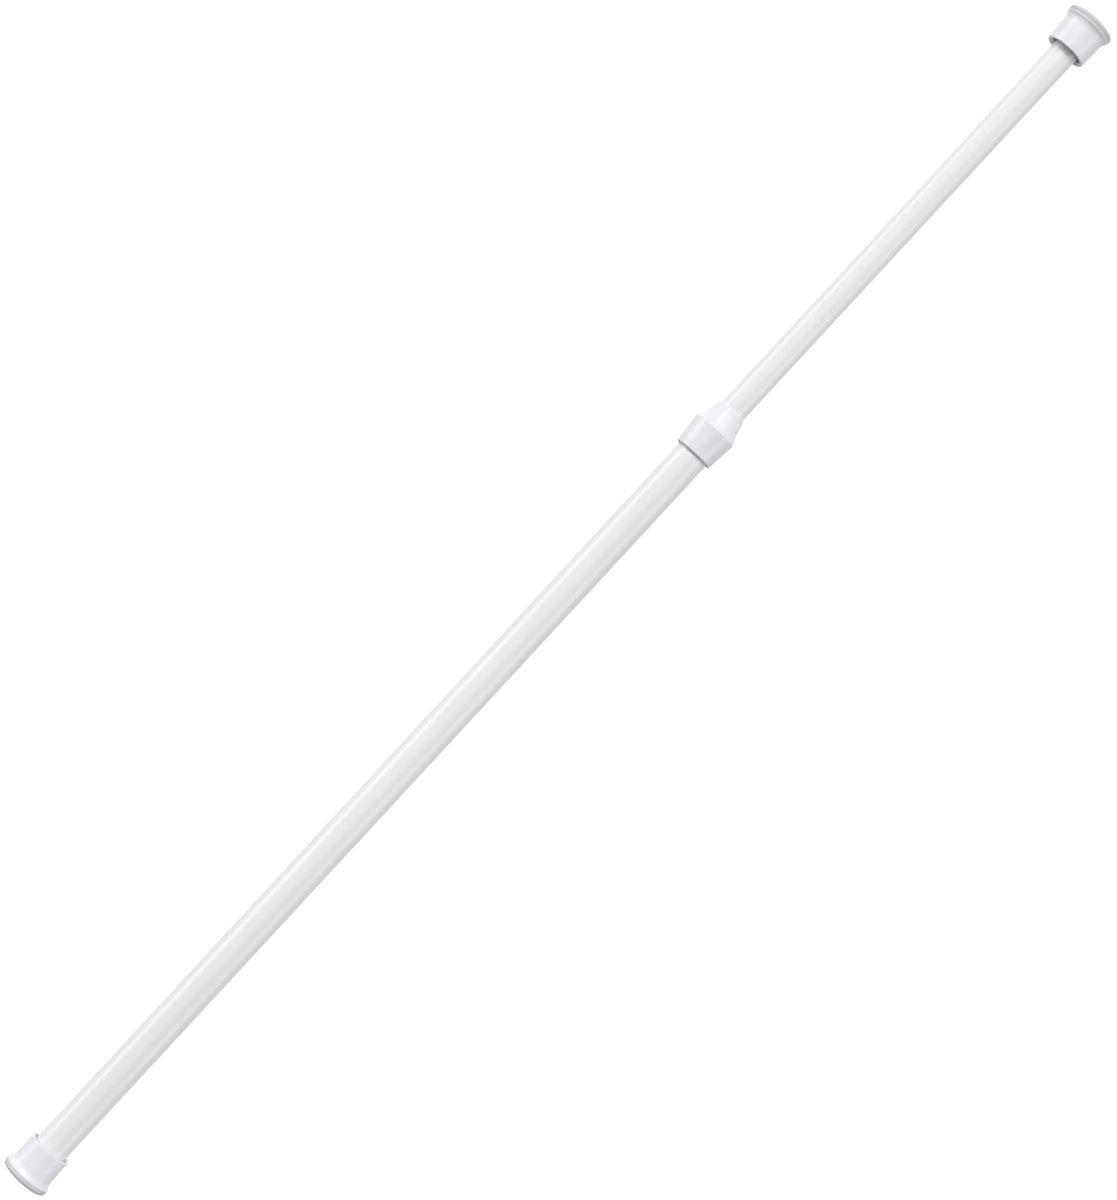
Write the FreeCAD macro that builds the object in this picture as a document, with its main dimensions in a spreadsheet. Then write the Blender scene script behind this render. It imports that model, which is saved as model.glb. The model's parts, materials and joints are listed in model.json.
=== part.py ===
import FreeCAD, Part
import math
import os
import re

import Sketcher

# Spring tension rod: two telescoping steel tubes with a twist lock and a spring inside.
# The rod lies along X. The wall face of the larger tube's foot is at the origin, and the
# thinner tube runs towards +X. Millimetres. Every piece is modelled from its own start
# face at x = 0 and placed along the rod's axis.

DRIVING_SIZES = {
    # Tubes
    "outer_tube_diameter": 16.0,
    "outer_tube_wall": 0.5,
    "outer_tube_length": 444.0,
    "inner_tube_diameter": 12.7,
    "inner_tube_wall": 0.5,
    "inner_tube_length": 306.0,
    # How far the rod can still be drawn out from the modelled length
    "extension_reserve": 51.0,
    # Rolled crimps that hold the plugs in the thinner tube
    "crimp_depth": 0.5,
    "crimp_width": 3.0,
    # Radial gaps
    "pressed_gap": 0.05,
    "running_gap": 0.05,
    "lip_gap": 0.1,
    "guide_gap": 0.1,
    "sleeve_gap": 0.15,
    "washer_gap": 0.1,
    # Gap between the spring's last coil and the plug that it pushes
    "spring_end_gap": 0.05,
    # End cap, one moulding for both tubes
    "cap_end_wall": 2.6,
    "cap_skirt_length": 12.5,
    "cap_flare_length": 3.6,
    "cap_rim_land": 0.4,
    "cap_rim_wall": 3.55,
    "cap_waist_wall": 2.35,
    "cap_mouth_wall": 2.0,
    "cap_ring_length": 7.5,
    "cap_lead_in": 1.0,
    "cap_mouth_edge": 0.3,
    # Foot pad
    "pad_thickness": 2.9,
    "pad_rounding": 1.5,
    "pad_proud": 0.25,
    "pad_stem_diameter": 6.0,
    "pad_stem_length": 2.2,
    # Collar over the joint of the tubes
    "collar_grip_length": 13.7,
    "collar_barrel_length": 14.2,
    "collar_cone_length": 11.3,
    "collar_cone_sweep": 42.0,
    "collar_lip_length": 5.0,
    "collar_mouth_wall": 1.55,
    "collar_shoulder_wall": 2.8,
    "collar_lip_wall": 0.75,
    "collar_edge": 0.45,
    "collar_mouth_gap": 0.9,
    "collar_mouth_depth": 2.5,
    # Liner in the mouth of the larger tube
    "liner_length": 12.0,
    "liner_flange": 1.0,
    # Guide plug in the thinner tube's inner end
    "guide_length": 16.0,
    "guide_flange": 3.0,
    "guide_edge": 0.5,
    # Spindle
    "shank_width": 5.0,
    "shank_gap": 0.1,
    "head_gap": 0.2,
    "head_length": 5.0,
    "nose_diameter": 7.0,
    "nose_length": 6.0,
    "nose_chamfer": 1.0,
    "spindle_flange_diameter": 13.0,
    "spindle_flange": 3.0,
    "thread_diameter": 8.0,
    "thread_pitch": 3.0,
    "screw_hole_depth": 12.0,
    # Spring and its travel
    "spring_wire": 1.4,
    "spring_gap": 0.55,
    "spring_length": 45.0,
    "spring_turns": 8.0,
    "closed_turn_gap": 0.05,
    "spring_stroke": 25.0,
    "stroke_reserve": 2.0,
    # Plug that carries the spring's far end
    "stop_length": 10.0,
    # Split sleeve of the twist lock
    "sleeve_length": 24.0,
    "sleeve_collar_length": 6.0,
    "sleeve_taper_length": 10.0,
    "sleeve_lip_wall": 0.55,
    "sleeve_taper": 0.16,
    "slit_width": 1.2,
    "slit_length": 15.0,
    "grip_groove_depth": 0.3,
    "grip_groove_width": 0.8,
    "grip_groove_pitch": 2.4,
    # Tapered nut that spreads the sleeve
    "taper_gap": 0.04,
    "nut_head_length": 6.0,
    "nut_entry": 8.0,
    "nut_spare": 1.0,
    "unlock_turns": 1.0,
    "key_gap": 0.1,
    "key_start": 2.0,
    "key_entry": 6.0,
    # Washers and the screw that keep the lock on the spindle
    "thrust_washer_thickness": 1.0,
    "stop_washer_diameter": 11.0,
    "stop_washer_thickness": 1.0,
    "screw_diameter": 3.0,
    "screw_length": 11.0,
    "screw_head_diameter": 6.0,
    "screw_head_height": 2.2,
    "screw_head_edge": 0.8,
    "screw_recess_width": 0.9,
    "screw_recess_length": 3.4,
    "screw_recess_depth": 1.2,
}
SLIT_COUNT = 4
KEY_COUNT = 2
GRIP_GROOVE_COUNT = 4
RECESS_COUNT = 2

# Radii that several pieces share
OUTER_RADIUS = "(outer_tube_diameter / 2)"
OUTER_BORE = "(outer_tube_diameter / 2 - outer_tube_wall)"
INNER_RADIUS = "(inner_tube_diameter / 2)"
INNER_BORE = "(inner_tube_diameter / 2 - inner_tube_wall)"
PLUG_RADIUS = f"({INNER_BORE} - pressed_gap)"
THREAD_BORE = "(thread_diameter / 2 + running_gap)"
NOSE_RADIUS = "(nose_diameter / 2)"
SHANK_HOLE = "(shank_width + 2 * shank_gap)"

# Places along the rod, from the wall face of the larger tube's foot
OUTER_TUBE_START = "(pad_thickness + cap_end_wall)"
OUTER_TUBE_END = f"({OUTER_TUBE_START} + outer_tube_length)"
COLLAR_START = f"({OUTER_TUBE_END} - collar_grip_length)"
LINER_START = f"({OUTER_TUBE_END} - liner_length)"
INNER_TUBE_START = f"({LINER_START} - extension_reserve)"
INNER_TUBE_END = f"({INNER_TUBE_START} + inner_tube_length)"
ROD_END = f"({INNER_TUBE_END} + cap_end_wall + pad_thickness)"
GUIDE_START = f"({INNER_TUBE_START} - guide_flange)"
SPINDLE_START = f"({GUIDE_START} - spring_stroke - stroke_reserve - spindle_flange)"
THRUST_WASHER_START = f"({SPINDLE_START} - thrust_washer_thickness)"
SLEEVE_START = f"({THRUST_WASHER_START} - sleeve_length)"
NUT_START = f"({SLEEVE_START} - nut_head_length)"
SPINDLE_TIP = f"({NUT_START} - thread_pitch * unlock_turns - nut_spare)"
HEAD_START = f"({INNER_TUBE_START} + guide_length)"
SPRING_START = f"({HEAD_START} + head_length)"
STOP_START = f"({SPRING_START} + spring_length)"

doc = FreeCAD.newDocument("SpringTensionRod")
sheet = doc.addObject("Spreadsheet::Sheet", "Sizes")
for row, (size_name, size_value) in enumerate(DRIVING_SIZES.items(), start=1):
    sheet.set(f"A{row}", size_name)
    sheet.set(f"B{row}", str(size_value))
    sheet.setAlias(f"B{row}", size_name)
doc.recompute()

bodies = []


def cells(text):
    """An expression in plain size names, turned into one that reads the sheet."""
    return re.sub(r"[a-z][a-z_]*", lambda found: f"Sizes.{found.group()}", str(text))


def number(text):
    """What an expression in plain size names comes to now."""
    return float(sheet.evalExpression(cells(text)))


def new_body(label, start):
    """An empty body whose own x = 0 lies at start on the rod's axis."""
    body = doc.addObject("PartDesign::Body", label)
    body.Label = label
    body.setExpression("Placement.Base.x", cells(start))
    bodies.append(body)
    return body


def origin_feature(body, role):
    return next(f for f in body.Origin.OriginFeatures if f.Role == role)


def new_sketch(body, name, role, offset="0"):
    """A sketch on one of the body's own planes, moved along the plane's normal."""
    sketch = body.newObject("Sketcher::SketchObject", name)
    sketch.AttachmentSupport = (origin_feature(body, role), [""])
    sketch.MapMode = "FlatFace"
    sketch.setExpression("AttachmentOffset.Base.z", cells(offset))
    return sketch


def fix_point(sketch, line, end, across, up):
    """Ties one end of a line to its two coordinates, each an expression."""
    for kind, axis, text in (("DistanceX", -2, across), ("DistanceY", -1, up)):
        if text == "0":
            sketch.addConstraint(Sketcher.Constraint("PointOnObject", line, end, axis))
        else:
            held = Sketcher.Constraint(kind, -1, 1, line, end, number(text))
            index = sketch.addConstraint(held)
            sketch.setExpression(f"Constraints[{index}]", cells(text))


def draw_outline(sketch, points):
    """A closed outline. A point is (across, up) or, where a round edge leads on to the
    next point, (across, up, radius, side) with side 1 for a bulge to the left of the
    way there and -1 for a bulge to the right."""
    spots = [FreeCAD.Vector(number(p[0]), number(p[1]), 0) for p in points]
    ends = []
    for point, here, there in zip(points, spots, spots[1:] + spots[:1]):
        if len(point) == 2:
            line = sketch.addGeometry(Part.LineSegment(here, there))
            ends.append((line, 1, 2))
            continue
        radius, side = number(point[2]), point[3]
        chord = there - here
        left = FreeCAD.Vector(-chord.y, chord.x, 0).normalize()
        rise = radius - math.sqrt(radius**2 - (chord.Length / 2) ** 2)
        middle = (here + there) / 2 + left * rise * side
        line = sketch.addGeometry(Part.Arc(here, middle, there))
        ends.append((line, 2, 1) if side > 0 else (line, 1, 2))
    for point, (line, start, _), (before, _, stop) in zip(points, ends, ends[-1:] + ends):
        sketch.addConstraint(Sketcher.Constraint("Coincident", before, stop, line, start))
        fix_point(sketch, line, start, point[0], point[1])
    for point, (line, _, _) in zip(points, ends):
        if len(point) == 4:
            held = Sketcher.Constraint("Radius", line, number(point[2]))
            index = sketch.addConstraint(held)
            sketch.setExpression(f"Constraints[{index}]", cells(point[2]))


def draw_rectangle(sketch, left, right, low, high):
    draw_outline(sketch, [(left, low), (right, low), (right, high), (left, high)])


def revolve(body, name, points, cut=False):
    """A ring or disc: an outline in (along, radius) turned about the rod's axis."""
    sketch = new_sketch(body, f"{name}_outline", "XY_Plane")
    draw_outline(sketch, points)
    kind = "PartDesign::Groove" if cut else "PartDesign::Revolution"
    feature = body.newObject(kind, name)
    feature.Profile = sketch
    feature.ReferenceAxis = (sketch, ["H_Axis"])
    feature.Angle = 360
    return feature


def square_bar(body, name, width, start, length, cut=False):
    """A bar or a hole of square section along the rod's axis, from start towards +X."""
    half = f"({width} / 2)"
    sketch = new_sketch(body, f"{name}_section", "YZ_Plane", start)
    draw_rectangle(sketch, f"-{half}", half, f"-{half}", half)
    feature = body.newObject("PartDesign::Pocket" if cut else "PartDesign::Pad", name)
    feature.Profile = sketch
    feature.setExpression("Length", cells(length))
    feature.Reversed = cut
    return feature


def radial_slab(body, name, width, edges, cut=False):
    """A flat rib or slot in the plane of the axis: edges are left, right, low, high."""
    sketch = new_sketch(body, f"{name}_outline", "XY_Plane")
    draw_rectangle(sketch, *edges)
    feature = body.newObject("PartDesign::Pocket" if cut else "PartDesign::Pad", name)
    feature.Profile = sketch
    feature.setExpression("Length", cells(width))
    feature.SideType = "Symmetric"
    return feature


def repeat_around(body, name, feature, count):
    pattern = body.newObject("PartDesign::PolarPattern", name)
    pattern.Originals = [feature]
    pattern.Axis = (origin_feature(body, "X_Axis"), [""])
    pattern.Angle = 360
    pattern.Occurrences = count
    body.Tip = pattern
    return pattern


def crimp_points(middle, radius, way):
    """The four points of a rolled crimp in a wall's outline, met in one direction."""
    inner = f"({radius} - crimp_depth)"
    steps = [("-", "2", radius), ("-", "6", inner), ("+", "6", inner), ("+", "2", radius)]
    points = [(f"{middle} {sign} crimp_width / {part}", r) for sign, part, r in steps]
    return points[::way]


def make_outer_tube():
    body = new_body("outer_tube", OUTER_TUBE_START)
    end = "outer_tube_length"
    points = [("0", OUTER_BORE), (end, OUTER_BORE), (end, OUTER_RADIUS), ("0", OUTER_RADIUS)]
    revolve(body, "tube_wall", points)


def make_inner_tube():
    """A thin tube with two rolled crimps, one round each plug that it holds."""
    body = new_body("inner_tube", INNER_TUBE_START)
    guide_crimp = "guide_length / 2"
    stop_crimp = f"({STOP_START} + stop_length / 2 - {INNER_TUBE_START})"
    end = "inner_tube_length"
    points = [
        ("0", INNER_BORE),
        *crimp_points(guide_crimp, INNER_BORE, 1),
        *crimp_points(stop_crimp, INNER_BORE, 1),
        (end, INNER_BORE),
        (end, INNER_RADIUS),
        *crimp_points(stop_crimp, INNER_RADIUS, -1),
        *crimp_points(guide_crimp, INNER_RADIUS, -1),
        ("0", INNER_RADIUS),
    ]
    revolve(body, "tube_wall", points)


def make_end_cap(label, start, turn):
    """Both tubes have the same moulding. The larger tube goes between its skirt and its
    inner ring, the thinner one into the ring. Its own x runs from the rim to the mouth."""
    body = new_body(label, start)
    body.setExpression("Placement.Rotation.Angle", str(turn))
    body.Placement.Rotation.Axis = FreeCAD.Vector(0, 0, 1)
    skirt_bore = f"({OUTER_RADIUS} + pressed_gap)"
    ring_outside = f"({OUTER_BORE} - pressed_gap)"
    ring_bore = f"({INNER_RADIUS} + pressed_gap)"
    mouth = "(cap_end_wall + cap_skirt_length)"
    ring_end = "(cap_end_wall + cap_ring_length)"
    flare_run = "(cap_flare_length - cap_rim_land)"
    flare_rise = "(cap_rim_wall - cap_waist_wall)"
    flare_radius = f"(({flare_run} ^ 2 + {flare_rise} ^ 2) / (2 * {flare_rise}))"
    stem_hole = "(pad_stem_diameter / 2 + pressed_gap)"
    points = [
        ("0", stem_hole),
        ("cap_end_wall", stem_hole),
        ("cap_end_wall", ring_bore),
        (ring_end, ring_bore),
        (ring_end, ring_outside),
        ("cap_end_wall", ring_outside),
        ("cap_end_wall", skirt_bore),
        (f"{mouth} - cap_lead_in", skirt_bore),
        (mouth, f"{skirt_bore} + cap_lead_in"),
        (mouth, f"{skirt_bore} + cap_mouth_wall - cap_mouth_edge"),
        (f"{mouth} - cap_mouth_edge", f"{skirt_bore} + cap_mouth_wall"),
        ("cap_flare_length", f"{skirt_bore} + cap_waist_wall", flare_radius, 1),
        ("cap_rim_land", f"{skirt_bore} + cap_rim_wall"),
        ("0", f"{skirt_bore} + cap_rim_wall"),
    ]
    revolve(body, "cap_wall", points)


def make_foot_pad(label, start, turn):
    """A thick disc, rounded to its wall face, whose stem is pressed into the cap's end
    wall. It stands proud of the cap's rim. Its own x runs from its wall face to the
    stem's end."""
    body = new_body(label, start)
    body.setExpression("Placement.Rotation.Angle", str(turn))
    body.Placement.Rotation.Axis = FreeCAD.Vector(0, 0, 1)
    rim = f"({OUTER_RADIUS} + pressed_gap + cap_rim_wall)"
    edge = f"({rim} + pad_proud)"
    stem_end = "pad_thickness + pad_stem_length"
    points = [
        ("0", "0"),
        (stem_end, "0"),
        (stem_end, "pad_stem_diameter / 2"),
        ("pad_thickness", "pad_stem_diameter / 2"),
        ("pad_thickness", rim),
        ("pad_rounding", edge, "pad_rounding", -1),
        ("0", f"{edge} - pad_rounding"),
    ]
    revolve(body, "pad_disc", points)


def make_collar():
    """A barrel over the larger tube's mouth and a swept cone down to the thinner tube.
    The barrel's own mouth is bored wider and stands off the larger tube."""
    body = new_body("collar", COLLAR_START)
    barrel_bore = f"({OUTER_RADIUS} + pressed_gap)"
    mouth_bore = f"({barrel_bore} + collar_mouth_gap)"
    seat = "(collar_grip_length + liner_flange)"
    end = "(collar_barrel_length + collar_cone_length)"
    lip_bore = f"({INNER_RADIUS} + lip_gap)"
    points = [
        ("0", mouth_bore),
        ("collar_mouth_depth", mouth_bore),
        ("collar_mouth_depth", barrel_bore),
        (seat, barrel_bore),
        (seat, OUTER_BORE),
        (f"{end} - collar_lip_length", lip_bore),
        (end, lip_bore),
        (end, f"{lip_bore} + collar_lip_wall", "collar_cone_sweep", 1),
        ("collar_barrel_length", f"{barrel_bore} + collar_shoulder_wall"),
        ("collar_edge", f"{barrel_bore} + collar_mouth_wall"),
        ("0", f"{barrel_bore} + collar_mouth_wall - collar_edge"),
    ]
    revolve(body, "collar_wall", points)


def make_mouth_liner():
    """A flanged liner in the larger tube's mouth, held there by the collar."""
    body = new_body("mouth_liner", LINER_START)
    bore = f"({INNER_RADIUS} + running_gap)"
    sleeve = f"({OUTER_BORE} - pressed_gap)"
    end = "(liner_length + liner_flange)"
    points = [
        ("0", bore),
        (end, bore),
        (end, OUTER_RADIUS),
        ("liner_length", OUTER_RADIUS),
        ("liner_length", sleeve),
        ("0", sleeve),
    ]
    revolve(body, "liner_wall", points)


def grooved_plug(middle):
    """The outline points of a crimp's groove in a plug, met towards -X."""
    return crimp_points(middle, PLUG_RADIUS, -1)


def make_guide_plug():
    """Crimped into the thinner tube's inner end. Its flange runs in the larger tube and
    its square hole lets the spindle slide but not turn."""
    body = new_body("guide_plug", GUIDE_START)
    flange = f"({OUTER_BORE} - guide_gap)"
    end = "(guide_flange + guide_length)"
    points = [
        ("0", "0"),
        (end, "0"),
        (end, PLUG_RADIUS),
        *grooved_plug("guide_flange + guide_length / 2"),
        ("guide_flange", PLUG_RADIUS),
        ("guide_flange", flange),
        ("guide_edge", flange),
        ("0", f"{flange} - guide_edge"),
    ]
    revolve(body, "plug_disc", points)
    square_bar(body, "shank_hole", SHANK_HOLE, "0", end, cut=True)


def make_spring_stop():
    """A plug crimped into the thinner tube, with a nose that centres the spring."""
    body = new_body("spring_stop", f"{STOP_START} - nose_length")
    end = "(nose_length + stop_length)"
    points = [
        ("0", "0"),
        (end, "0"),
        (end, PLUG_RADIUS),
        *grooved_plug("nose_length + stop_length / 2"),
        ("nose_length", PLUG_RADIUS),
        ("nose_length", NOSE_RADIUS),
        ("nose_chamfer", NOSE_RADIUS),
        ("0", f"{NOSE_RADIUS} - nose_chamfer"),
    ]
    revolve(body, "plug_disc", points)


def make_spindle():
    """From -X: threaded end, flange, square shank, spring head and nose. Its own x = 0
    is the tip of the threaded end."""
    body = new_body("spindle", SPINDLE_TIP)
    thrust_face = f"({SPINDLE_START} - {SPINDLE_TIP})"
    shank_start = f"({thrust_face} + spindle_flange)"
    head_start = f"({HEAD_START} - {SPINDLE_TIP})"
    head_end = f"({head_start} + head_length)"
    head_radius = f"({INNER_BORE} - head_gap)"
    square_bar(body, "shank", "shank_width", shank_start, f"{head_start} - {shank_start}")
    flange_points = [
        ("0", "0"),
        (shank_start, "0"),
        (shank_start, "spindle_flange_diameter / 2"),
        (thrust_face, "spindle_flange_diameter / 2"),
        (thrust_face, "thread_diameter / 2"),
        ("0", "thread_diameter / 2"),
    ]
    revolve(body, "flange_and_thread", flange_points)
    head_points = [
        (head_start, "0"),
        (f"{head_end} + nose_length", "0"),
        (f"{head_end} + nose_length", f"{NOSE_RADIUS} - nose_chamfer"),
        (f"{head_end} + nose_length - nose_chamfer", NOSE_RADIUS),
        (head_end, NOSE_RADIUS),
        (head_end, head_radius),
        (head_start, head_radius),
    ]
    revolve(body, "head_and_nose", head_points)
    hole_radius = "(screw_diameter / 2 + pressed_gap)"
    hole_points = [
        ("0", "0"),
        ("screw_hole_depth", "0"),
        ("screw_hole_depth", hole_radius),
        ("0", hole_radius),
    ]
    revolve(body, "screw_hole", hole_points, cut=True)


def coil_of_wire(body, name, radius, start, height, turns):
    """Whole turns of the wire about the axis, from start towards +X."""
    section = new_sketch(body, f"{name}_section", "XY_Plane")
    centre = FreeCAD.Vector(number(start), number(radius), 0)
    wire_radius = number("spring_wire / 2")
    wire = section.addGeometry(Part.Circle(centre, FreeCAD.Vector(0, 0, 1), wire_radius))
    fix_point(section, wire, 3, start, radius)
    index = section.addConstraint(Sketcher.Constraint("Radius", wire, wire_radius))
    section.setExpression(f"Constraints[{index}]", cells("spring_wire / 2"))
    coil = body.newObject("PartDesign::AdditiveHelix", name)
    coil.Profile = section
    coil.ReferenceAxis = (origin_feature(body, "X_Axis"), [""])
    coil.Mode = "height-turns-growth"
    coil.setExpression("Height", cells(height))
    coil.setExpression("Turns", cells(turns))


def make_compression_spring():
    """A helix of round wire. One closed turn at each end is ground flat, on the head and
    on the plug."""
    body = new_body("compression_spring", SPRING_START)
    radius = f"({INNER_BORE} - spring_gap - spring_wire / 2)"
    length = "(spring_length - spring_end_gap)"
    closed = "(spring_wire + closed_turn_gap)"
    coil_of_wire(body, "closed_start", radius, "0", closed, "1")
    coil_of_wire(body, "open_coil", radius, closed, f"{length} - 2 * {closed}", "spring_turns")
    coil_of_wire(body, "closed_end", radius, f"{length} - {closed}", closed, "1")
    doc.recompute()
    for name, start, away in (("start_ground", "0", True), ("end_ground", length, False)):
        sketch = new_sketch(body, f"{name}_area", "YZ_Plane", start)
        reach = f"({INNER_BORE} + spring_wire)"
        draw_rectangle(sketch, f"-{reach}", reach, f"-{reach}", reach)
        ground = body.newObject("PartDesign::Pocket", name)
        ground.Profile = sketch
        ground.setExpression("Length", cells("2 * spring_wire"))
        ground.Reversed = not away


def make_lock_sleeve():
    """A split sleeve: a whole ring at +X, and fingers that the tapered nut spreads."""
    body = new_body("lock_sleeve", SLEEVE_START)
    outside = f"({OUTER_BORE} - sleeve_gap)"
    mouth = f"({outside} - sleeve_lip_wall)"
    waist = f"({mouth} - sleeve_taper * sleeve_taper_length)"
    ring_start = "(sleeve_length - sleeve_collar_length)"
    points = [
        ("0", mouth),
        ("sleeve_taper_length", waist),
        (ring_start, waist),
        (ring_start, THREAD_BORE),
        ("sleeve_length", THREAD_BORE),
        ("sleeve_length", outside),
        ("0", outside),
    ]
    revolve(body, "sleeve_wall", points)
    edges = ("0", "slit_length", "0", OUTER_RADIUS)
    slit = radial_slab(body, "slit", "slit_width", edges, cut=True)
    repeat_around(body, "slits", slit, SLIT_COUNT)
    groove_end = "sleeve_taper_length + grip_groove_width"
    floor = f"({outside} - grip_groove_depth)"
    groove_points = [
        ("sleeve_taper_length", floor),
        (groove_end, floor),
        (groove_end, OUTER_RADIUS),
        ("sleeve_taper_length", OUTER_RADIUS),
    ]
    groove = revolve(body, "grip_groove", groove_points, cut=True)
    pattern = body.newObject("PartDesign::LinearPattern", "grip_grooves")
    pattern.Originals = [groove]
    pattern.Direction = (origin_feature(body, "X_Axis"), [""])
    pattern.Occurrences = GRIP_GROOVE_COUNT
    pattern.setExpression("Length", cells(f"grip_groove_pitch * {GRIP_GROOVE_COUNT - 1}"))
    body.Tip = pattern


def make_tapered_nut():
    """Screws along the spindle. Its taper follows the sleeve's, and its keys lie in two
    of the sleeve's slits, so it can't turn with the spindle."""
    body = new_body("tapered_nut", NUT_START)
    sleeve_outside = f"({OUTER_BORE} - sleeve_gap)"
    big_end = f"({sleeve_outside} - sleeve_lip_wall - taper_gap)"
    small_end = f"({big_end} - sleeve_taper * nut_entry)"
    end = "(nut_head_length + nut_entry)"
    points = [
        ("0", THREAD_BORE),
        (end, THREAD_BORE),
        (end, small_end),
        ("nut_head_length", big_end),
        ("0", big_end),
    ]
    revolve(body, "nut_body", points)
    key_width = "(slit_width - 2 * key_gap)"
    edges = ("key_start", "nut_head_length + key_entry", THREAD_BORE, sleeve_outside)
    key = radial_slab(body, "key", key_width, edges)
    repeat_around(body, "keys", key, KEY_COUNT)


def make_washer(label, start, thickness, outside, bore):
    body = new_body(label, start)
    points = [("0", bore), (thickness, bore), (thickness, outside), ("0", outside)]
    revolve(body, "washer_disc", points)


def make_stop_screw():
    """A pan-head screw in the spindle's tip. Its own x = 0 is under its head."""
    body = new_body("stop_screw", f"{SPINDLE_TIP} - stop_washer_thickness")
    head = "(screw_head_diameter / 2)"
    rounding = "(screw_head_height - screw_head_edge)"
    points = [
        ("-screw_head_height", "0"),
        ("screw_length", "0"),
        ("screw_length", "screw_diameter / 2"),
        ("0", "screw_diameter / 2"),
        ("0", head),
        ("-screw_head_edge", head, rounding, -1),
        ("-screw_head_height", f"{head} - {rounding}"),
    ]
    revolve(body, "screw_body", points)
    depth = "(screw_recess_depth - screw_head_height)"
    half = "(screw_recess_length / 2)"
    edges = ("-screw_head_height", depth, f"-{half}", half)
    recess = radial_slab(body, "recess", "screw_recess_width", edges, cut=True)
    pattern = repeat_around(body, "recesses", recess, RECESS_COUNT)
    pattern.Angle = 180


make_outer_tube()
make_inner_tube()
make_end_cap("outer_end_cap", "pad_thickness", 0)
make_end_cap("inner_end_cap", f"{ROD_END} - pad_thickness", 180)
make_foot_pad("outer_foot_pad", "0", 0)
make_foot_pad("inner_foot_pad", ROD_END, 180)
make_collar()
make_mouth_liner()
make_guide_plug()
make_spring_stop()
make_spindle()
make_compression_spring()
make_lock_sleeve()
make_tapered_nut()
make_washer(
    "thrust_washer",
    THRUST_WASHER_START,
    "thrust_washer_thickness",
    "(spindle_flange_diameter / 2)",
    "(thread_diameter / 2 + washer_gap)",
)
make_washer(
    "stop_washer",
    f"{SPINDLE_TIP} - stop_washer_thickness",
    "stop_washer_thickness",
    "(stop_washer_diameter / 2)",
    "(screw_diameter / 2 + washer_gap)",
)
make_stop_screw()
doc.recompute()

for item in doc.Objects:
    if {"Invalid", "Error"} & set(item.State):
        raise RuntimeError(f"{item.Name} failed: {item.State}")
for body in bodies:
    if body.Shape.isNull() or not body.Shape.isValid() or len(body.Shape.Solids) != 1:
        raise RuntimeError(f"{body.Label} is not one valid solid")

os.makedirs("parts", exist_ok=True)
for body in bodies:
    body.Shape.exportStep(f"parts/{body.Label}.step")
    box = body.Shape.BoundBox
    print(f"{body.Label}: x {box.XMin:.3f} to {box.XMax:.3f}, {body.Shape.Volume:.1f} mm3")
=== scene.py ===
import json
import math

import bpy
import numpy as np
from mathutils import Matrix, Vector

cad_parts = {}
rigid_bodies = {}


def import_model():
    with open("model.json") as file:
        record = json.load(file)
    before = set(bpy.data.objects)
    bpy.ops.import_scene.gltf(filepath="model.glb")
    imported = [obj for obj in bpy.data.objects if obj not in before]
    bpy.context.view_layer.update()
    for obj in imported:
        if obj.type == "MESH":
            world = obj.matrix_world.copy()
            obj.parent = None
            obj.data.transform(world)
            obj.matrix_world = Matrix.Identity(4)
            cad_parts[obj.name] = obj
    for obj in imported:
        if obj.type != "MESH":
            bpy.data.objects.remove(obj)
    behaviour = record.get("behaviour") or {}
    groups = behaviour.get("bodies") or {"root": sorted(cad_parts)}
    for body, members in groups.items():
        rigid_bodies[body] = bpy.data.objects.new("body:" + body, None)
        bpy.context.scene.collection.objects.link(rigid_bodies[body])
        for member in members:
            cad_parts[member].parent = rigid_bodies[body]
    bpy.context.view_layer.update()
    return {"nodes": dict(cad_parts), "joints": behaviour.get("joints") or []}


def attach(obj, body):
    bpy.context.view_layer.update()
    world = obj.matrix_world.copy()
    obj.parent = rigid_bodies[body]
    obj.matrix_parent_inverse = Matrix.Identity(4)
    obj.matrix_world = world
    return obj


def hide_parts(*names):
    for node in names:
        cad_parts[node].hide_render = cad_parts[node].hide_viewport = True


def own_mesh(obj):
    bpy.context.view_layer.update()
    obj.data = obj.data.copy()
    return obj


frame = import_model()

# Finishes, lights and camera for a spring tension rod. The rod lies along X, with its outer
# foot's wall face at X = 0. Lengths are in metres where nothing else is said.

# The camera looks down on the rod's middle from 1.4 m, and the rod climbs to the right.
CAMERA_DISTANCE = 1.4
CAMERA_LEAN = math.radians(1.0)
ROD_SLOPE = math.radians(47.25)
AIM_ALONG = 0.3478
AIM_ACROSS = -0.00015
NEAREST_SEEN = 0.1
FARTHEST_SEEN = 200.0

# Its lens, in pixels of the picture's height and in millimetres of film.
PICTURE_HEIGHT = 1200
FOCAL_PIXELS = 3158.4
SENSOR = 36.0

# A level floor well below the rod: how much light it sends back, and how bright it glows
# where it is seen directly.
FLOOR_DROP = 1.0
FLOOR_REACH = 20.0
FLOOR_TONE = 0.35
FLOOR_GLOW = 0.93

# Even light from all round, as a share of white.
EVEN_LIGHT = 0.15

# Soft lamps, all as far off, so that both ends get the same light: turn and height in
# degrees, width and length in metres, brightness.
LAMP_DISTANCE = 16.0
LAMPS = {
    "key_lamp": (85.0, 42.0, 5.5, 5.5, 3.8),
    "left_key_lamp": (55.0, 50.0, 5.5, 5.5, 12.2),
    "right_key_lamp": (125.0, 50.0, 5.5, 5.5, 6.8),
    "left_strip_lamp": (0.0, 15.0, 3.7, 10.5, 9.3),
    "right_strip_lamp": (180.0, 24.0, 3.7, 10.5, 6.3),
}


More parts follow.
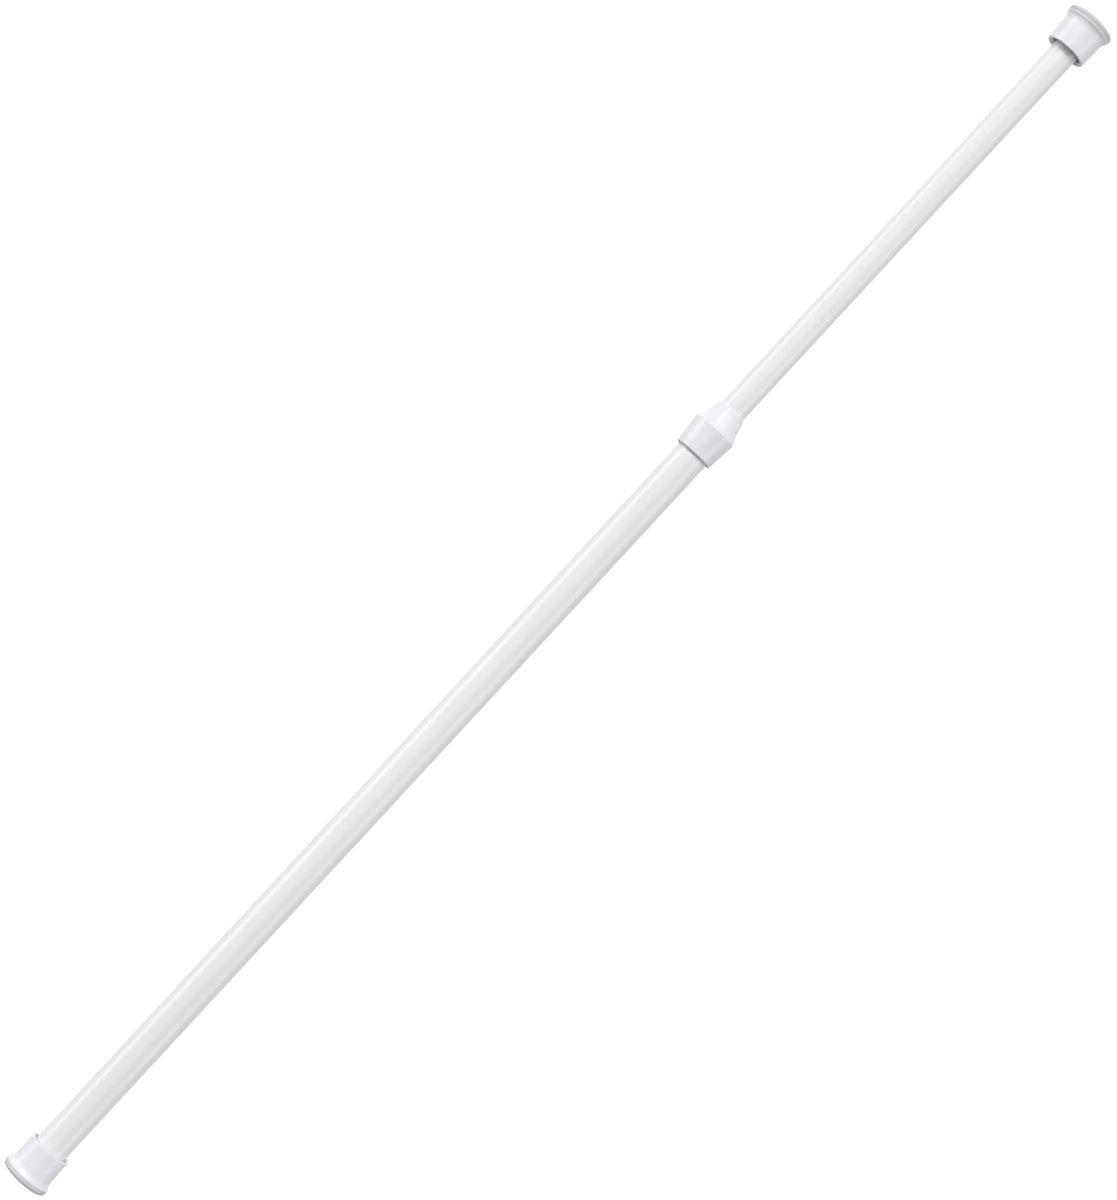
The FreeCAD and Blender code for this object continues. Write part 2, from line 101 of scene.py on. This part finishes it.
def srgb(red, green, blue):
    """Linear colour of a tone given in screen levels of 0 to 255."""
    tones = np.array((red, green, blue), float) / 255.0
    linear = np.where(tones <= 0.04045, tones / 12.92, ((tones + 0.055) / 1.055) ** 2.4)
    return (*linear.tolist(), 1.0)


class Finish:
    """One material, built from nodes around a single surface shader."""

    def __init__(self, name, **sockets):
        self.material = bpy.data.materials.new(name)
        self.material.use_nodes = True
        self.tree = self.material.node_tree
        self.tree.nodes.clear()
        output = self.add("ShaderNodeOutputMaterial")
        self.shader = self.add("ShaderNodeBsdfPrincipled", **sockets)
        self.join(self.shader.outputs["BSDF"], output.inputs["Surface"])
        self.place = self.add("ShaderNodeTexCoord").outputs["Object"]

    def add(self, kind, **sockets):
        """A node with its input values given by name."""
        node = self.tree.nodes.new(kind)
        for key, value in sockets.items():
            node.inputs[key.replace("_", " ")].default_value = value
        return node

    def join(self, source, target):
        self.tree.links.new(source, target)

    def stretched(self, along, across):
        """The object's coordinates times one number along the rod and one across it."""
        mapping = self.add("ShaderNodeMapping", Scale=(along, across, across))
        self.join(self.place, mapping.inputs["Vector"])
        return mapping.outputs["Vector"]

    def grain(self, scale, detail=2.0, roughness=0.5, vector=None):
        """Cloudy noise of the given number of spots per metre, or per unit of the vector."""
        noise = self.add("ShaderNodeTexNoise", Scale=scale, Detail=detail, Roughness=roughness)
        self.join(vector or self.place, noise.inputs["Vector"])
        return noise.outputs["Fac"]

    def tint(self, pattern, dark, light):
        """Base colour that runs from one tone to another over the middle of a pattern."""
        ramp = self.add("ShaderNodeValToRGB")
        for stop, position, tone in zip(ramp.color_ramp.elements, (0.35, 0.65), (dark, light)):
            stop.position = position
            stop.color = tone
        self.join(pattern, ramp.inputs["Fac"])
        self.join(ramp.outputs["Color"], self.shader.inputs["Base Color"])

    def sheen(self, pattern, smoothest, roughest):
        """Roughness that runs between two values with a pattern."""
        spread = self.add("ShaderNodeMapRange", To_Min=smoothest, To_Max=roughest)
        self.join(pattern, spread.inputs["Value"])
        self.join(spread.outputs["Result"], self.shader.inputs["Roughness"])

    def relief(self, pattern, depth):
        """Fine relief of the given depth in metres."""
        bump = self.add("ShaderNodeBump", Strength=1.0, Distance=depth)
        self.join(pattern, bump.inputs["Height"])
        self.join(bump.outputs["Normal"], self.shader.inputs["Normal"])


def white_paint():
    """Baked satin paint on steel tube: slightly cool white, orange peel about 1 mm across."""
    finish = Finish("white_paint", Roughness=0.4, IOR=1.5)
    cloud = finish.grain(1.0, detail=3.0, vector=finish.stretched(along=6.0, across=40.0))
    orange_peel = finish.grain(900.0)
    finish.tint(cloud, dark=srgb(227, 227, 229), light=srgb(231, 231, 233))
    finish.sheen(cloud, smoothest=0.34, roughest=0.4)
    finish.relief(orange_peel, depth=0.000012)
    return finish.material


def white_plastic():
    """Moulded plastic: cool white with faint flow clouds and a finely etched surface."""
    finish = Finish("white_plastic", Roughness=0.38, IOR=1.46)
    flow_cloud = finish.grain(90.0, detail=4.0)
    haze = finish.grain(2200.0)
    etching = finish.grain(2600.0)
    finish.tint(flow_cloud, dark=srgb(225, 225, 229), light=srgb(230, 231, 234))
    finish.sheen(haze, smoothest=0.33, roughest=0.45)
    finish.relief(etching, depth=0.000008)
    return finish.material


def pad_rubber():
    """Grey rubber with a fine matt speckle."""
    finish = Finish("pad_rubber", Roughness=0.55, IOR=1.5)
    speckle = finish.grain(3000.0, detail=3.0)
    finish.tint(speckle, dark=srgb(189, 190, 192), light=srgb(203, 204, 206))
    finish.relief(speckle, depth=0.00003)
    return finish.material


def natural_nylon():
    """Milky uncoloured nylon, which lets a little light in."""
    finish = Finish("natural_nylon", Roughness=0.42, IOR=1.53, Subsurface_Weight=0.3,
                    Subsurface_Radius=(0.002, 0.0018, 0.0014))
    cloud = finish.grain(160.0, detail=4.0)
    flow_marks = finish.grain(1800.0)
    finish.tint(cloud, dark=srgb(222, 218, 204), light=srgb(234, 231, 220))
    finish.relief(flow_marks, depth=0.00001)
    return finish.material


def spring_wire():
    """Drawn steel wire, dark oiled grey with fine streaks."""
    finish = Finish("spring_wire", Metallic=1.0, Roughness=0.38)
    streak = finish.grain(1.0, detail=4.0, vector=finish.stretched(along=800.0, across=2400.0))
    finish.tint(streak, dark=srgb(96, 97, 100), light=srgb(142, 143, 147))
    finish.sheen(streak, smoothest=0.3, roughest=0.48)
    finish.relief(streak, depth=0.00001)
    return finish.material


def zinc_steel():
    """Zinc plated steel, pale blue grey with a fine crystal mottle."""
    finish = Finish("zinc_steel", Metallic=1.0, Roughness=0.34)
    crystal = finish.grain(700.0, detail=5.0, roughness=0.6)
    plating = finish.grain(3000.0)
    finish.tint(crystal, dark=srgb(178, 182, 188), light=srgb(206, 209, 214))
    finish.sheen(crystal, smoothest=0.26, roughest=0.44)
    finish.relief(plating, depth=0.000008)
    return finish.material


NODES_OF_FINISH = {
    white_paint: ("outer_tube", "inner_tube"),
    white_plastic: ("outer_end_cap", "inner_end_cap", "collar"),
    pad_rubber: ("outer_foot_pad", "inner_foot_pad"),
    natural_nylon: ("mouth_liner", "guide_plug", "spring_stop", "lock_sleeve", "tapered_nut",
                    "spindle"),
    spring_wire: ("compression_spring",),
    zinc_steel: ("thrust_washer", "stop_washer", "stop_screw"),
}


def dress_nodes():
    """Gives every node of the rod its finish."""
    for finish, names in NODES_OF_FINISH.items():
        material = finish()
        for name in names:
            for slot in frame["nodes"][name].material_slots:
                slot.material = material


def springy_coil():
    """The coil spring with its finish, as its own copy of the spring's mesh on the parent body
    of the spring_stroke joint, in place of the rigid spring, which is hidden."""
    rigid_spring = frame["nodes"]["compression_spring"]
    push = next(joint for joint in frame["joints"] if joint["name"] == "spring_stroke")
    coil = bpy.data.objects.new("coil_spring", rigid_spring.data)
    bpy.context.scene.collection.objects.link(coil)
    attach(coil, push["parent"])
    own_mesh(coil)
    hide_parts("compression_spring")


def soft_lamp(name, turn, height, width, length, brightness):
    """A rectangular soft lamp far off, facing the rod's middle. Its direction from there is
    turned from +Y towards +X and raised by height, both in degrees; its length lies along
    the rod, and its face has the given brightness."""
    lamp = bpy.data.lights.new(name, "AREA")
    lamp.shape = "RECTANGLE"
    lamp.size = length
    lamp.size_y = width
    lamp.energy = brightness * math.pi * width * length
    spot = bpy.data.objects.new(name, lamp)
    bpy.context.scene.collection.objects.link(spot)
    turn, height = math.radians(turn), math.radians(height)
    level = Vector((math.sin(turn), math.cos(turn), 0.0)) * math.cos(height)
    away = level + Vector((0.0, 0.0, math.sin(height)))
    side = (Vector((1.0, 0.0, 0.0)) - away * away.x).normalized()
    facing = Matrix((side, away.cross(side), away)).transposed().to_4x4()
    place = Vector((AIM_ALONG, 0.0, 0.0)) + away * LAMP_DISTANCE
    spot.matrix_world = Matrix.Translation(place) @ facing


def background_share(tree):
    """One for rays from the camera, a mirror or clear glass, nothing for the rest."""
    path = tree.nodes.new("ShaderNodeLightPath")
    share = path.outputs["Is Camera Ray"]
    for kind in ("Is Glossy Ray", "Is Transmission Ray"):
        either = tree.nodes.new("ShaderNodeMath")
        either.operation = "MAXIMUM"
        tree.links.new(share, either.inputs[0])
        tree.links.new(path.outputs[kind], either.inputs[1])
        share = either.outputs["Value"]
    return share


def white_room():
    """Even light from all round, with a white background."""
    world = bpy.data.worlds.new("white_room")
    bpy.context.scene.world = world
    world.use_nodes = True
    tree = world.node_tree
    tree.nodes.clear()
    mix = tree.nodes.new("ShaderNodeMixShader")
    tree.links.new(background_share(tree), mix.inputs["Fac"])
    for place, strength in ((1, EVEN_LIGHT), (2, 1.0)):
        light = tree.nodes.new("ShaderNodeBackground")
        light.inputs["Color"].default_value = (1.0, 1.0, 1.0, 1.0)
        light.inputs["Strength"].default_value = strength
        tree.links.new(light.outputs["Background"], mix.inputs[place])
    output = tree.nodes.new("ShaderNodeOutputWorld")
    tree.links.new(mix.outputs["Shader"], output.inputs["Surface"])


def pale_floor():
    """A wide level floor well below the rod. Seen directly it glows, up to white."""
    west, east, low = -FLOOR_REACH, FLOOR_REACH, -FLOOR_DROP
    corners = [(west, west, low), (east, west, low), (east, east, low), (west, east, low)]
    mesh = bpy.data.meshes.new("floor")
    mesh.from_pydata(corners, [], [(0, 1, 2, 3)])
    floor = bpy.data.objects.new("floor", mesh)
    bpy.context.scene.collection.objects.link(floor)
    material = bpy.data.materials.new("pale_floor")
    material.use_nodes = True
    tree = material.node_tree
    tree.nodes.clear()
    matt = tree.nodes.new("ShaderNodeBsdfDiffuse")
    matt.inputs["Color"].default_value = (FLOOR_TONE, FLOOR_TONE, FLOOR_TONE, 1.0)
    glow = tree.nodes.new("ShaderNodeEmission")
    glow.inputs["Color"].default_value = (FLOOR_GLOW, FLOOR_GLOW, FLOOR_GLOW, 1.0)
    tree.links.new(background_share(tree), glow.inputs["Strength"])
    both = tree.nodes.new("ShaderNodeAddShader")
    tree.links.new(matt.outputs["BSDF"], both.inputs[0])
    tree.links.new(glow.outputs["Emission"], both.inputs[1])
    output = tree.nodes.new("ShaderNodeOutputMaterial")
    tree.links.new(both.outputs["Shader"], output.inputs["Surface"])
    mesh.materials.append(material)


def photograph_camera():
    """Looks down on the rod, which climbs to the right in the picture."""
    lens = bpy.data.cameras.new("camera")
    lens.sensor_width = SENSOR
    lens.sensor_fit = "AUTO"
    lens.lens = FOCAL_PIXELS / PICTURE_HEIGHT * SENSOR
    lens.clip_start = NEAREST_SEEN
    lens.clip_end = FARTHEST_SEEN
    camera = bpy.data.objects.new("camera", lens)
    bpy.context.scene.collection.objects.link(camera)
    back = Vector((-math.sin(CAMERA_LEAN), 0.0, math.cos(CAMERA_LEAN)))
    rod = Vector((math.cos(CAMERA_LEAN), 0.0, math.sin(CAMERA_LEAN)))
    side = Vector((0.0, 1.0, 0.0))
    right = rod * math.cos(ROD_SLOPE) - side * math.sin(ROD_SLOPE)
    up = rod * math.sin(ROD_SLOPE) + side * math.cos(ROD_SLOPE)
    facing = Matrix((right, up, back)).transposed().to_4x4()
    aim = Vector((AIM_ALONG, AIM_ACROSS, 0.0))
    camera.matrix_world = Matrix.Translation(aim + back * CAMERA_DISTANCE) @ facing
    bpy.context.scene.camera = camera


dress_nodes()
springy_coil()
white_room()
pale_floor()
for lamp_name, settings in LAMPS.items():
    soft_lamp(lamp_name, *settings)
photograph_camera()
bpy.context.scene.view_settings.view_transform = "Standard"
